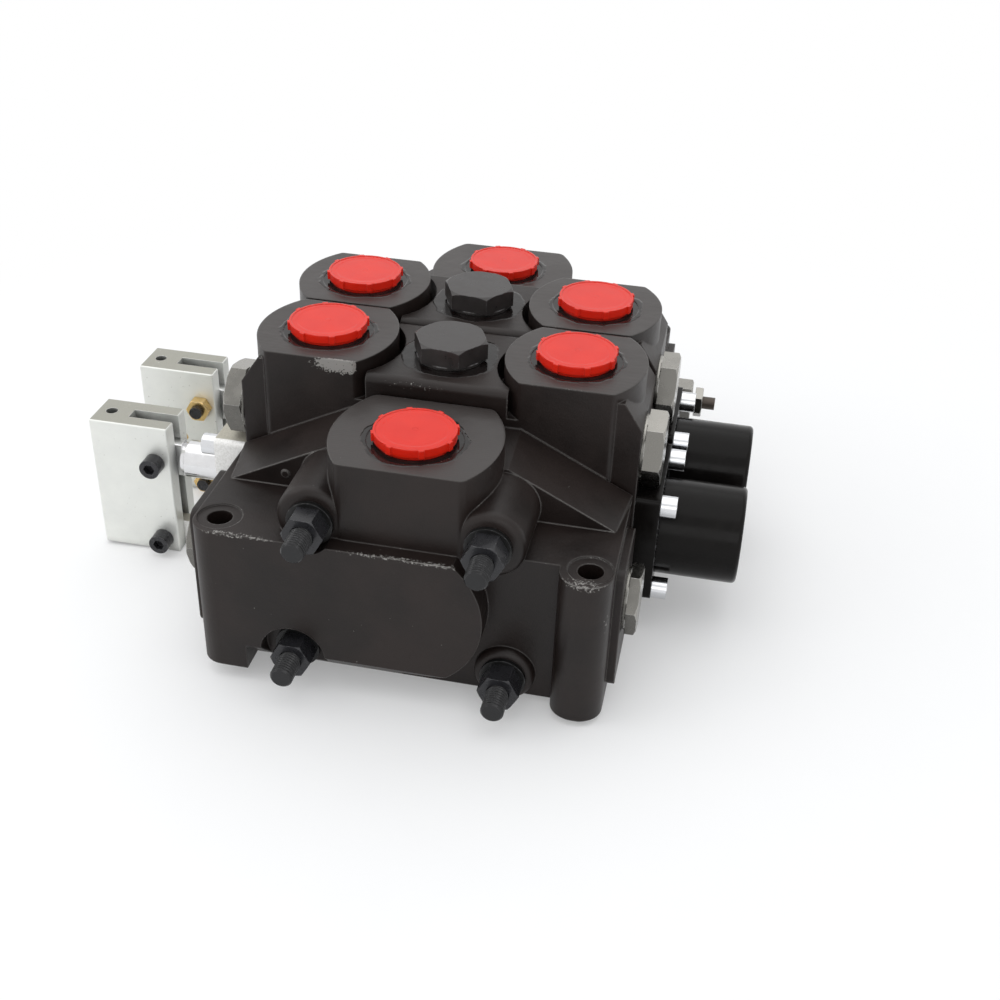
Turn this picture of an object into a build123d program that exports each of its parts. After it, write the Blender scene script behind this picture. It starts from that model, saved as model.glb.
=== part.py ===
from build123d import *
import os
from math import radians, tan

os.makedirs("parts", exist_ok=True)

# A two-section directional control valve, in millimetres.
# X runs along the spools, Y along the tie rods from front to back, Z up.
# The origin is the middle of the four foot holes, on the plane the feet stand on.

# The stack of castings
section_pitch = 70.0
section_count = 2
stack_half = section_pitch * section_count / 2
belly_z = 3.0
overrun = 1.0

# Feet and their holes
foot_half_span = 95.0
foot_setback = 68.0
foot_height = 88.0
foot_width = 27.0
foot_length = 28.5
foot_sole_edge = 3.5
foot_hole_radius = 6.5
foot_spot_radius = 11.5
foot_spot_depth = 1.0

# Tie rods, nuts and washers
rod_radius = 6.0
rod_hole_clearance = 0.25
upper_rod_x = 45.0
upper_rod_z = 96.0
lower_rod_x = 55.0
lower_rod_z = 16.5
rod_overhang = 28.8
rod_end_chamfer = 1.0
nut_across_flats = 19.0
nut_height = 12.0
washer_radius = 12.0
washer_thickness = 2.5
washer_room = 1.0

# End castings
end_depth = 73.0
corner_radius = 12.0
base_left = -107.5
base_right = 107.0
base_reach = 68.0
apron_depth = 15.0
apron_pad_radius = 45.0
apron_pad_z = 54.0
wing_reach = 33.0
wing_inner_x = 46.0
wing_back_half = 107.0
wing_back_low = 90.5
wing_back_high = 121.0
wing_front_half = 102.5
wing_front_high = 116.5
boss_root = 15.0
rod_boss_radius = 18.5
rod_boss_edge = 4.0
nut_pocket_radius = 17.5
lower_boss_radius = 16.0
end_boss_half = 43.7
end_boss_side_radius = 60.0
end_boss_corner = 5.0
end_boss_setback = 40.5
end_boss_top = 131.5
end_boss_reach = 73.5
cast_mark_place = (-71.9, 95.7)
cast_mark_radius = 2.2
cast_mark_height = 0.8
end_pad_width = 48.0
end_pad_low = 13.0
end_pad_high = 84.0
pad_corner_radius = 6.0
left_pad_depth = 6.0
right_pad_depth = 4.5

# Work section castings
body_half = 92.0
body_chamfer = 8.0
valley_z = 126.0
left_face_reach = 15.5
right_face_reach = 16.5
face_pad_half = 32.0
face_pad_low = 20.0
face_pad_high = 142.0
face_pad_drop = 15.0
face_pad_slope = 10.0
port_x = 68.2
port_boss_half = 37.8
port_boss_side_radius = 50.0
port_boss_corner = 2.5
port_boss_top = 147.6
joint_relief = 1.0
land_half = 38.0
land_z = 141.0
land_moat = 4.0
land_edge = 4.0

# Passages
spool_z = 52.0
port_bore_radius = 15.2
port_bore_depth = 22.0
port_passage_radius = 11.0
spot_face_radius = 24.5
spot_face_depth = 0.5
core_radius = 12.0
tank_core_x = 62.0
chamber_inner_x = 24.0
chamber_outer_x = 38.0
chamber_radius = 20.0
bridge_radius = 8.5
bridge_z = 78.0
check_bore_radius = 15.0
check_bore_floor = 92.0
check_throat_radius = 9.0
side_bore_depth = 20.0
gallery_radius = 11.0
inlet_tank_depths = (24.0, 36.0)

# Seal rings between the castings
ring_mean_radius = 15.5
ring_half_width = 1.3
ring_groove_depth = 2.4
ring_clearance = 0.1

# Spools
spool_radius = 12.5
spool_clearance = 0.02
spool_lands = [(-94.0, -76.0), (-56.0, -44.0), (-18.0, -10.0), (10.0, 18.0), (44.0, 56.0), (76.0, 94.0)]
groove_radius = 8.5
rod_end_radius = 11.0
rod_end_clearance = 0.15
wiper_radius = 18.0
wiper_depth = 6.0
wiper_clearance = 0.05
wiper_end_gap = 0.1
rod_end_x = -157.0
neck_radius = 9.0
tongue_root_x = -160.0
tongue_tip_x = -184.0
tongue_thickness = 8.0
tongue_slack = 0.2
tongue_slot = 1.6
tail_radius = 7.0
tail_step_x = 112.0
tail_end_x = 136.0

# Lever fork
lever_pin_x = -173.5
lever_pin_rise = 2.0
lever_arm = 53.0
lever_left = -212.0
lever_right = -164.0
lever_width = 26.4
lever_above_pin = 23.5
lever_below_pin = 9.0
slot_width = 8.5
slot_end_x = -191.0
handle_hole_x = -203.4
handle_hole_radius = 3.4
handle_hole_depth = 30.0
lever_bolt_radius = 4.0
lever_nut_across_flats = 13.0
lever_nut_height = 6.5
fork_chamfer = 0.6
lever_bolt_tail = 3.0
bolt_hole_clearance = 0.1

# Lever bracket and spring cap flange, one on each end of a spool
flange_width = 64.0
flange_low = 22.0
flange_high = 87.0
bracket_thickness = 19.5
flange_corner_radius = 3.0
arm_half = 8.0
arm_root_high = 36.0
arm_gusset = 18.0
cap_flange_thickness = 13.5
screw_half_y = 25.0
screw_low_z = 26.6
screw_high_z = 80.0
screw_radius = 4.0
screw_head_radius = 6.0
screw_head_height = 8.5
screw_grip = 12.0
screw_hole_clearance = 0.25
thread_clearance = 0.05
socket_across_flats = 6.0
socket_depth = 4.0

# Spring caps and centring springs
cap_radius = 27.0
cap_wall = 7.0
cap_end_x = 167.0
cap_end_wall = 3.5
cap_end_radius = 2.5
cap_pilot_radius = 23.0
cap_pilot_depth = 7.0
pilot_clearance = 0.05
spring_floor_depth = 10.0
collar_radius = 18.0
collar_thickness = 4.0
end_bolt_radius = 4.0
end_bolt_grip = 12.0
spring_mean_radius = 14.5
spring_wire_radius = 1.5
spring_turns = 3.5
spring_seat_gap = 0.1

# Hexagon plugs
plug_across_flats = 36.0
plug_head_height = 10.0
side_plug_across_flats = 32.0
side_plug_head_height = 6.0
crown_share = 1.03
crown_angle = 60.0
plug_collar_reach = 0.5
plug_collar_height = 1.5
plug_shank_radius = 13.0
plug_shank_length = 14.0
service_plug_offset = 14.0
service_plug_z = 108.0
service_bore_depth = 36.0
side_plug_z = 54.0

# Check valve
check_shank_length = 22.0
check_guide_depth = 18.0
poppet_radius = 10.5
poppet_thickness = 5.0
poppet_nose_depth = 4.0
poppet_nose_clearance = 0.3
guide_clearance = 0.05
poppet_stem_radius = 4.0
poppet_stem_length = 36.0
check_spring_radius = 7.5
check_spring_wire = 0.8
check_spring_turns = 4

# Port caps
cap_rim_radius = 21.0
cap_rib_reach = 1.0
cap_rib_width = 3.0
cap_rib_count = 8
cap_rim_height = 4.6
cap_neck_radius = 19.5
cap_neck_height = 1.9
cap_plug_depth = 12.0
cap_plug_wall = 2.0
cap_rib_start = 22.5
cap_rim_edge = 1.2
cap_dish = 0.3
cap_clearance = 0.05

# Main relief cartridge in the inlet casting
relief_barrel_radius = 12.0
relief_nose_radius = 7.0
relief_nose_x = 56.0
relief_across_flats = 24.0
relief_hex_end_x = 127.0
relief_flange_radius = 15.0
relief_flange_thickness = 2.5
relief_bore_radius = 6.0
relief_lock_across_flats = 17.0
relief_lock_thickness = 5.0
relief_screw_radius = 4.0
relief_screw_end_x = 142.0
relief_seat_radius = 4.5
relief_seat_length = 4.0
relief_poppet_length = 20.0
relief_spring_radius = 4.8
relief_spring_wire = 0.6
relief_spring_turns = 6
relief_piston_thickness = 3.0
relief_piston_x = 109.0
relief_lock_gap = 2.0
relief_lock_turn = 20.0

# Places worked out from the sizes above
section_mids = [section_pitch * (i + 0.5) - stack_half for i in range(section_count)]
lower_rods = [(-lower_rod_x, lower_rod_z), (lower_rod_x, lower_rod_z)]
upper_rods = [(-upper_rod_x, upper_rod_z), (upper_rod_x, upper_rod_z)]
rod_places = upper_rods + lower_rods
core_places = [(-tank_core_x, spool_z), (0, spool_z), (tank_core_x, spool_z)]
end_boss_y = stack_half + end_boss_setback
foot_y = stack_half + foot_setback
foot_places = [(-foot_half_span, -foot_y), (foot_half_span, -foot_y)]
seat_y = stack_half + end_depth
front_y = stack_half + base_reach + apron_depth
foot_inner_x = base_left + foot_width
lever_pin_z = spool_z + lever_pin_rise
fulcrum_z = lever_pin_z - lever_arm
fork_low = fulcrum_z - lever_below_pin
fork_high = lever_pin_z + lever_above_pin
left_face = -body_half - left_face_reach
right_face = body_half + right_face_reach
bracket_face = left_face - bracket_thickness
cap_seat_x = right_face + cap_flange_thickness
spring_floor_x = cap_seat_x - spring_floor_depth
wing_fall = (wing_back_high - wing_back_low) / (wing_back_half - wing_inner_x)
joint_shoulder_z = wing_back_high - wing_fall * (body_half - wing_inner_x)
cap_inner_radius = cap_radius - cap_wall
flange_mid_z = (flange_low + flange_high) / 2
screw_places = [(y, z) for z in (screw_low_z, screw_high_z) for y in (-screw_half_y, screw_half_y)]
left_pad_x = base_left - left_pad_depth
right_pad_x = base_right + right_pad_depth
bolt_radius_in_fork = lever_bolt_radius + bolt_hole_clearance


def write(piece, name):
    piece.label = name
    export_step(piece, f"parts/{name}.step")


def rounds(plane, places, radius, length, mode=Mode.ADD):
    """Cylinders of one size that stand on a plane; a negative length goes below it."""
    with BuildSketch(plane) as profile:
        with Locations(*places):
            Circle(radius)
    extrude(profile.sketch, amount=length, mode=mode)


def hexagons(plane, places, across_flats, height, turn=0):
    """Hexagons with crowned corners, the first step of a nut or of a plug."""
    with BuildSketch(plane) as profile:
        with Locations(*places):
            RegularPolygon(across_flats / 2, 6, major_radius=False, rotation=turn)
    extrude(profile.sketch, amount=height)
    top = across_flats / 2 * crown_share
    with Locations(*[plane * Location((x, y, 0)) for x, y in places]):
        Cone(top + height * tan(radians(crown_angle)), top, height,
             align=(Align.CENTER, Align.CENTER, Align.MIN), mode=Mode.INTERSECT)


def ring_grooves(plane):
    """Grooves for the seal rings round the three passages of a joint face."""
    with BuildSketch(plane) as profile:
        with Locations(*core_places):
            Circle(ring_mean_radius + ring_half_width + ring_clearance)
            Circle(ring_mean_radius - ring_half_width - ring_clearance, mode=Mode.SUBTRACT)
    extrude(profile.sketch, amount=ring_groove_depth, mode=Mode.SUBTRACT)


def bowed_boss(x, front, back, half, side_radius, corner, low, high):
    """Upright boss with bowed sides and a flat front and back; half is its widest reach along X."""
    with BuildSketch(Plane.XY.offset(low)) as profile:
        with Locations((x + half - side_radius, (front + back) / 2)):
            Circle(side_radius)
        with Locations((x - half + side_radius, (front + back) / 2)):
            Circle(side_radius, mode=Mode.INTERSECT)
        with Locations((x, (front + back) / 2)):
            Rectangle(2 * half, back - front, mode=Mode.INTERSECT)
        fillet(profile.vertices(), radius=corner)
    extrude(profile.sketch, amount=high - low)


def end_casting(cores, drillings, grooved):
    """End casting of the stack, drawn at its front end.
    cores are (X, depth) of the passages open to the joint face, and drillings are
    (radius, first X, last X) of the bores that cross it from side to side."""
    width = base_right - base_left
    base_height = foot_height - belly_z
    root_z = foot_height - boss_root
    joint = Plane.XZ.offset(stack_half)
    with BuildPart() as rod_bosses:
        rounds(joint, upper_rods, rod_boss_radius, end_depth)
        rounds(joint, lower_rods[1:], lower_boss_radius, end_depth)
        front_rims = rod_bosses.edges().filter_by(GeomType.CIRCLE).group_by(Axis.Y)[0]
        fillet(front_rims, radius=rod_boss_edge)
    with BuildPart() as casting:
        # Feet: blocks with round front corners and a chamfered sole; the left one is flush with
        # the front face, so only its outer corner is round
        with BuildSketch() as soles:
            with Locations((base_left, -front_y), (base_right - foot_width, -front_y)):
                Rectangle(foot_width, foot_length, align=(Align.MIN, Align.MIN))
            front_corners = soles.vertices().group_by(Axis.Y)[0].sort_by(Axis.X)
            fillet(front_corners[:1] + front_corners[2:], radius=corner_radius)
        extrude(amount=foot_height)
        chamfer(casting.edges().group_by(Axis.Z)[0], length=foot_sole_edge)
        with BuildSketch(Plane.XY.offset(belly_z)):
            with Locations(((base_left + base_right) / 2, -stack_half - base_reach / 2)):
                Rectangle(width, base_reach)
        extrude(amount=base_height)

        # Front face that ends in a round pad, with its lower edge cut at 45 degrees up to the foot
        with BuildSketch(Plane.XZ.offset(stack_half + base_reach)):
            with Locations((base_left / 2, belly_z + base_height / 2)):
                Rectangle(-base_left, base_height)
            with Locations((0, apron_pad_z)):
                Circle(apron_pad_radius)
            with Locations((0, belly_z + base_height / 2)):
                Rectangle(2 * width, base_height, mode=Mode.INTERSECT)
        extrude(amount=apron_depth)
        front_corner = casting.edges().filter_by(Axis.Z).group_by(Axis.Y)[0].sort_by(Axis.X)[0]
        fillet(front_corner, radius=corner_radius)
        with BuildSketch(Plane.YZ.offset(foot_inner_x)):
            with BuildLine():
                Polyline((-front_y - overrun, belly_z - overrun),
                         (-front_y - overrun, belly_z + apron_depth + overrun),
                         (-front_y + apron_depth + overrun, belly_z - overrun), close=True)
            make_face()
        extrude(amount=apron_pad_radius - foot_inner_x, mode=Mode.SUBTRACT)

        # Wing that rises from the feet to the port boss, with its top sloping forward
        for reach, half, low, high in ((0, wing_back_half, wing_back_low, wing_back_high),
                                       (wing_reach, wing_front_half, foot_height, wing_front_high)):
            with BuildSketch(Plane.XZ.offset(stack_half + reach)):
                with BuildLine():
                    Polyline((-half, root_z), (-half, low), (-wing_inner_x, high),
                             (wing_inner_x, high), (half, low), (half, root_z), close=True)
                make_face()
        loft(ruled=True)
        rounds(Plane.XZ.offset(stack_half + wing_reach), [cast_mark_place], cast_mark_radius,
               cast_mark_height)

        # Bosses that carry the tie rod nuts, and the port boss
        add(rod_bosses.part)
        bowed_boss(0, -stack_half - end_boss_reach, -stack_half - joint_relief, end_boss_half,
                   end_boss_side_radius, end_boss_corner, root_z, end_boss_top)

        # Machined pads on both sides
        for face, depth in ((base_left, -left_pad_depth), (base_right, right_pad_depth)):
            with BuildSketch(Plane.YZ.offset(face)):
                with Locations((-end_boss_y, (end_pad_low + end_pad_high) / 2)):
                    RectangleRounded(end_pad_width, end_pad_high - end_pad_low, pad_corner_radius)
            extrude(amount=depth)

        # Nut pockets, rod holes and foot holes
        rounds(Plane.XZ.offset(seat_y), lower_rods, nut_pocket_radius, apron_depth, Mode.SUBTRACT)
        rounds(Plane.XZ.offset(seat_y), upper_rods, washer_radius + washer_room, apron_depth,
               Mode.SUBTRACT)
        rounds(joint, rod_places, rod_radius + rod_hole_clearance, end_depth, Mode.SUBTRACT)
        with Locations(*[(x, y, foot_height) for x, y in foot_places]):
            CounterBoreHole(foot_hole_radius, foot_spot_radius, foot_spot_depth)

        # Port, its passage, the cross drillings and the passages to the next casting
        with Locations((0, -end_boss_y, end_boss_top)):
            CounterBoreHole(port_bore_radius, spot_face_radius, spot_face_depth, port_bore_depth)
            Hole(port_passage_radius, end_boss_top - spool_z)
        for radius, first, last in drillings:
            rounds(Plane.YZ.offset(first), [(-end_boss_y, side_plug_z)], radius, last - first,
                   Mode.SUBTRACT)
        for x, depth in cores:
            rounds(joint, [(x, spool_z)], core_radius, depth, Mode.SUBTRACT)
        if grooved:
            ring_grooves(joint)
    return casting.part


def work_casting(mid):
    """Work section casting whose middle plane is at Y = mid."""
    back = Plane.XZ.offset(-mid - section_pitch / 2)
    middle = Plane.XZ.offset(-mid)
    boss_depth = section_pitch - 2 * joint_relief
    with BuildPart() as casting:
        # Raised land between the ports, with a moat round each port boss
        with BuildSketch(Plane.XY.offset(valley_z - boss_root)):
            with Locations((0, mid)):
                Rectangle(2 * land_half, boss_depth)
            with Locations((-port_x, mid), (port_x, mid)):
                Circle(port_boss_half + land_moat, mode=Mode.SUBTRACT)
        extrude(amount=land_z - valley_z + boss_root)
        fillet(casting.edges().filter_by(Axis.X).group_by(Axis.Z)[-1], radius=land_edge)

        # Block between the joint faces, which end where the wings of the end castings do, the
        # valley floor above it, and the port columns that bulge from its sides
        with BuildSketch(back):
            with BuildLine():
                Polyline((-body_half, belly_z), (-body_half, joint_shoulder_z),
                         (-wing_inner_x, wing_back_high), (wing_inner_x, wing_back_high),
                         (body_half, joint_shoulder_z), (body_half, belly_z), close=True)
            make_face()
        extrude(amount=section_pitch)
        with BuildSketch(Plane.XY.offset(joint_shoulder_z)):
            with Locations((0, mid)):
                Rectangle(2 * port_x, boss_depth)
        extrude(amount=valley_z - joint_shoulder_z)
        for x in (-port_x, port_x):
            bowed_boss(x, mid - boss_depth / 2, mid + boss_depth / 2, port_boss_half,
                       port_boss_side_radius, port_boss_corner, belly_z + body_chamfer, port_boss_top)

        # End faces that carry the lever bracket, the spring cap and the service plugs
        for face, inward in ((left_face, 1), (right_face, -1)):
            with BuildSketch(middle):
                with BuildLine():
                    Polyline((-inward * port_x, face_pad_low), (face, face_pad_low),
                             (face, face_pad_high - face_pad_drop),
                             (face + inward * face_pad_slope, face_pad_high),
                             (-inward * port_x, face_pad_high), close=True)
                make_face()
            extrude(amount=face_pad_half, both=True)

        # Spool bore with a wiper seat at each end
        rounds(Plane.YZ.offset(left_face), [(mid, spool_z)], spool_radius + spool_clearance,
               right_face - left_face, Mode.SUBTRACT)
        for first in (left_face, right_face - wiper_depth):
            rounds(Plane.YZ.offset(first), [(mid, spool_z)], wiper_radius, wiper_depth, Mode.SUBTRACT)

        # Chambers round the spool, the passages up to the ports, and the ports
        for side in (-1, 1):
            chamber = Plane.YZ.offset(side * chamber_inner_x)
            rounds(chamber, [(mid, spool_z)], chamber_radius,
                   side * (chamber_outer_x - chamber_inner_x), Mode.SUBTRACT)
            rounds(chamber, [(mid, bridge_z)], bridge_radius, side * (port_x - chamber_inner_x),
                   Mode.SUBTRACT)
        with Locations((-port_x, mid, port_boss_top), (port_x, mid, port_boss_top)):
            CounterBoreHole(port_bore_radius, spot_face_radius, spot_face_depth, port_bore_depth)
            Hole(port_passage_radius, port_boss_top - bridge_z)

        # Passages along the stack, check valve bore and tie rod holes
        rounds(back, core_places, core_radius, section_pitch, Mode.SUBTRACT)
        with Locations((0, mid, land_z)):
            Hole(check_bore_radius, land_z - check_bore_floor)
            Hole(check_throat_radius, land_z - spool_z)
        rounds(back, rod_places, rod_radius + rod_hole_clearance, section_pitch, Mode.SUBTRACT)

        # Service bores and the tapped holes of the flange screws
        for face, inward in ((left_face, 1), (right_face, -1)):
            end = Plane.YZ.offset(face)
            rounds(end, [(mid - service_plug_offset, service_plug_z)],
                   plug_shank_radius + thread_clearance, inward * service_bore_depth, Mode.SUBTRACT)
            rounds(end, [(mid + y, z) for y, z in screw_places], screw_radius + thread_clearance,
                   inward * (screw_grip + overrun), Mode.SUBTRACT)
        ring_grooves(back)
    return casting.part


def hexagon_plug(plane, turn, shank_radius, shank_length, across_flats=plug_across_flats,
                 head_height=plug_head_height):
    """Plug with a round collar under its hexagon; the plane is the face that it screws into."""
    with BuildPart() as plug:
        hexagons(plane.offset(plug_collar_height), [(0, 0)], across_flats, head_height, turn)
        rounds(plane, [(0, 0)], across_flats / 2 + plug_collar_reach, plug_collar_height)
        rounds(plane, [(0, 0)], shank_radius, -shank_length)
    return plug.part


def check_plug(mid, turn):
    """Plug over the load check, bored to guide the stem of its poppet."""
    seat = Plane((0, mid, land_z))
    with BuildPart() as plug:
        add(hexagon_plug(seat, turn, check_bore_radius - thread_clearance, check_shank_length))
        rounds(seat.offset(-check_shank_length), [(0, 0)], poppet_stem_radius + guide_clearance,
               check_guide_depth, Mode.SUBTRACT)
    return plug.part


def check_poppet(mid):
    """Load check poppet: a disc on its seat, a cone in the throat and a guided stem."""
    nose_radius = check_throat_radius - poppet_nose_clearance
    with BuildPart() as poppet:
        with BuildSketch(Plane.XZ.offset(-mid)):
            with BuildLine():
                Polyline((0, check_bore_floor - poppet_nose_depth),
                         (nose_radius - poppet_nose_depth, check_bore_floor - poppet_nose_depth),
                         (nose_radius, check_bore_floor), (poppet_radius, check_bore_floor),
                         (poppet_radius, check_bore_floor + poppet_thickness),
                         (poppet_stem_radius, check_bore_floor + poppet_thickness),
                         (poppet_stem_radius, check_bore_floor + poppet_stem_length),
                         (0, check_bore_floor + poppet_stem_length), close=True)
            make_face()
        revolve(axis=Axis((0, mid, 0), (0, 0, 1)))
    return poppet.part


def coil_spring(plane, length, mean_radius, wire_radius, turns):
    """Round wire spring that stands on a plane, as long as the space that it fills."""
    rise = length - 2 * (wire_radius + spring_seat_gap)
    with BuildPart() as spring:
        with BuildLine() as path:
            Helix(rise / turns, rise, mean_radius)
        with BuildSketch(Plane(path.line @ 0, z_dir=path.line % 0)):
            RegularPolygon(wire_radius, 6)
        sweep(is_frenet=True)
    return plane.offset(wire_radius + spring_seat_gap).location * spring.part


def port_cap(x, y, boss_top):
    """Ribbed cap pushed into a port, with a shallow dish in its top."""
    seat = Plane((x, y, boss_top - spot_face_depth))
    rim = seat.offset(cap_neck_height)
    plug_radius = port_bore_radius - cap_clearance
    with BuildPart() as cap:
        with BuildSketch(rim):
            Circle(cap_rim_radius)
            with PolarLocations(cap_rim_radius, cap_rib_count, start_angle=cap_rib_start):
                Rectangle(2 * cap_rib_reach, cap_rib_width)
        extrude(amount=cap_rim_height)
        rounds(rim.offset(cap_rim_height), [(0, 0)], cap_rim_radius - cap_rim_edge, -cap_dish,
               Mode.SUBTRACT)
        rounds(seat, [(0, 0)], cap_neck_radius, cap_neck_height)
        rounds(seat, [(0, 0)], plug_radius, -cap_plug_depth)
        rounds(seat.offset(-cap_plug_depth), [(0, 0)], plug_radius - cap_plug_wall, cap_plug_depth,
               Mode.SUBTRACT)
    return cap.part


def valve_spool(mid):
    """Spool with its lands, a slotted tongue at the lever end and a tail for the springs."""
    outline = [(tongue_root_x, 0), (tongue_root_x, neck_radius), (rod_end_x, neck_radius),
               (rod_end_x, rod_end_radius)]
    for first, last in spool_lands:
        outline += [(first, outline[-1][1]), (first, spool_radius), (last, spool_radius),
                    (last, groove_radius)]
    outline[-1] = (spool_lands[-1][1], rod_end_radius)
    outline += [(tail_step_x, rod_end_radius), (tail_step_x, tail_radius), (tail_end_x, tail_radius),
                (tail_end_x, 0)]
    with BuildPart() as spool:
        with BuildSketch(Plane.XZ.offset(-mid)):
            with BuildLine():
                Polyline(*[(x, spool_z + r) for x, r in outline], close=True)
            make_face()
        revolve(axis=Axis((0, mid, spool_z), (1, 0, 0)))
        with BuildSketch(Plane.YZ.offset(tongue_tip_x)):
            with Locations((mid, spool_z)):
                Circle(rod_end_radius)
                Rectangle(tongue_thickness, 2 * rod_end_radius, mode=Mode.INTERSECT)
        extrude(amount=tongue_root_x - tongue_tip_x)
        with BuildSketch(Plane.XZ.offset(-mid)):
            with Locations((lever_pin_x, lever_pin_z)):
                SlotCenterToCenter(tongue_slot, 2 * (lever_bolt_radius + tongue_slack), rotation=90)
        extrude(amount=tongue_thickness, both=True, mode=Mode.SUBTRACT)
        rounds(Plane.YZ.offset(tail_end_x), [(mid, spool_z)], end_bolt_radius + thread_clearance,
               -end_bolt_grip - overrun, Mode.SUBTRACT)
    return spool.part


def lever_bracket(mid):
    """Cast flange at the lever end of a section, with the arm that carries the fulcrum bolt."""
    face = Plane.YZ.offset(bracket_face)
    middle = Plane.XZ.offset(-mid)
    with BuildPart() as bracket:
        with BuildSketch(face):
            with Locations((mid, flange_mid_z)):
                RectangleRounded(flange_width, flange_high - flange_low, flange_corner_radius)
        extrude(amount=bracket_thickness)
        with BuildSketch(middle):
            with BuildLine():
                Polyline((left_face, arm_root_high), (bracket_face, arm_root_high),
                         (bracket_face - arm_gusset, fulcrum_z + arm_half),
                         (lever_pin_x, fulcrum_z + arm_half), (lever_pin_x, fulcrum_z - arm_half),
                         (bracket_face - arm_gusset / 2, fulcrum_z - arm_half), (left_face, flange_low),
                         close=True)
            make_face()
            with Locations((lever_pin_x, fulcrum_z)):
                Circle(arm_half)
                Circle(bolt_radius_in_fork, mode=Mode.SUBTRACT)
        extrude(amount=tongue_thickness / 2, both=True)
        rounds(face, [(mid, spool_z)], rod_end_radius + rod_end_clearance, bracket_thickness,
               Mode.SUBTRACT)
        rounds(face, [(mid + y, z) for y, z in screw_places], screw_radius + screw_hole_clearance,
               bracket_thickness, Mode.SUBTRACT)
    return bracket.part


def cap_flange(mid):
    """Plate between a section and its spring cap."""
    seat = Plane.YZ.offset(cap_seat_x)
    with BuildPart() as plate:
        with BuildSketch(seat):
            with Locations((mid, flange_mid_z)):
                RectangleRounded(flange_width, flange_high - flange_low, flange_corner_radius)
        extrude(amount=-cap_flange_thickness)
        rounds(seat, [(mid, spool_z)], cap_pilot_radius, -spring_floor_depth, Mode.SUBTRACT)
        rounds(seat, [(mid, spool_z)], rod_end_radius + rod_end_clearance, -cap_flange_thickness,
               Mode.SUBTRACT)
        rounds(seat, [(mid + y, z) for y, z in screw_places], screw_radius + screw_hole_clearance,
               -cap_flange_thickness, Mode.SUBTRACT)
    return plate.part


def spring_cap(mid):
    """Turned cup over the centring springs, with a pilot that enters the flange."""
    seat = Plane((cap_seat_x, mid, spool_z), x_dir=(0, 1, 0), z_dir=(1, 0, 0))
    length = cap_end_x - cap_seat_x
    with BuildPart() as cup:
        rounds(seat, [(0, 0)], cap_radius, length)
        fillet(cup.edges().filter_by(GeomType.CIRCLE).sort_by(Axis.X)[-1], radius=cap_end_radius)
        rounds(seat, [(0, 0)], cap_pilot_radius - pilot_clearance, -cap_pilot_depth)
        rounds(seat.offset(-cap_pilot_depth), [(0, 0)], cap_inner_radius,
               cap_pilot_depth + length - cap_end_wall, Mode.SUBTRACT)
    return cup.part


def socket_screws(plane, places, radius, length, out=1):
    """Socket head screws; the plane is the face under their heads, and out is the side of
    the plane that the heads are on."""
    with BuildPart() as screws:
        rounds(plane, places, screw_head_radius, out * screw_head_height)
        with BuildSketch(plane.offset(out * screw_head_height)):
            with Locations(*places):
                RegularPolygon(socket_across_flats / 2, 6, major_radius=False)
        extrude(amount=-out * socket_depth, mode=Mode.SUBTRACT)
        rounds(plane, places, radius, -out * length)
    return screws.part


def lever_fork(mid):
    """Block that turns about the fulcrum bolt and pushes the spool through its upper bolt."""
    slot_right = lever_right + overrun
    with BuildPart() as fork:
        with BuildSketch(Plane.XY.offset(fork_low)):
            with Locations(((lever_left + lever_right) / 2, mid)):
                Rectangle(lever_right - lever_left, lever_width)
        extrude(amount=fork_high - fork_low)
        chamfer(fork.edges(), length=fork_chamfer)
        with BuildSketch(Plane.XY.offset(fork_low)):
            with Locations(((slot_end_x + slot_right) / 2, mid)):
                Rectangle(slot_right - slot_end_x, slot_width)
        extrude(amount=fork_high - fork_low, mode=Mode.SUBTRACT)
        rounds(Plane.XZ.offset(-mid - lever_width / 2), fork_bolts, bolt_radius_in_fork, lever_width,
               Mode.SUBTRACT)
        with Locations((handle_hole_x, mid, fork_high)):
            Hole(handle_hole_radius, handle_hole_depth)
    return fork.part


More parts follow.
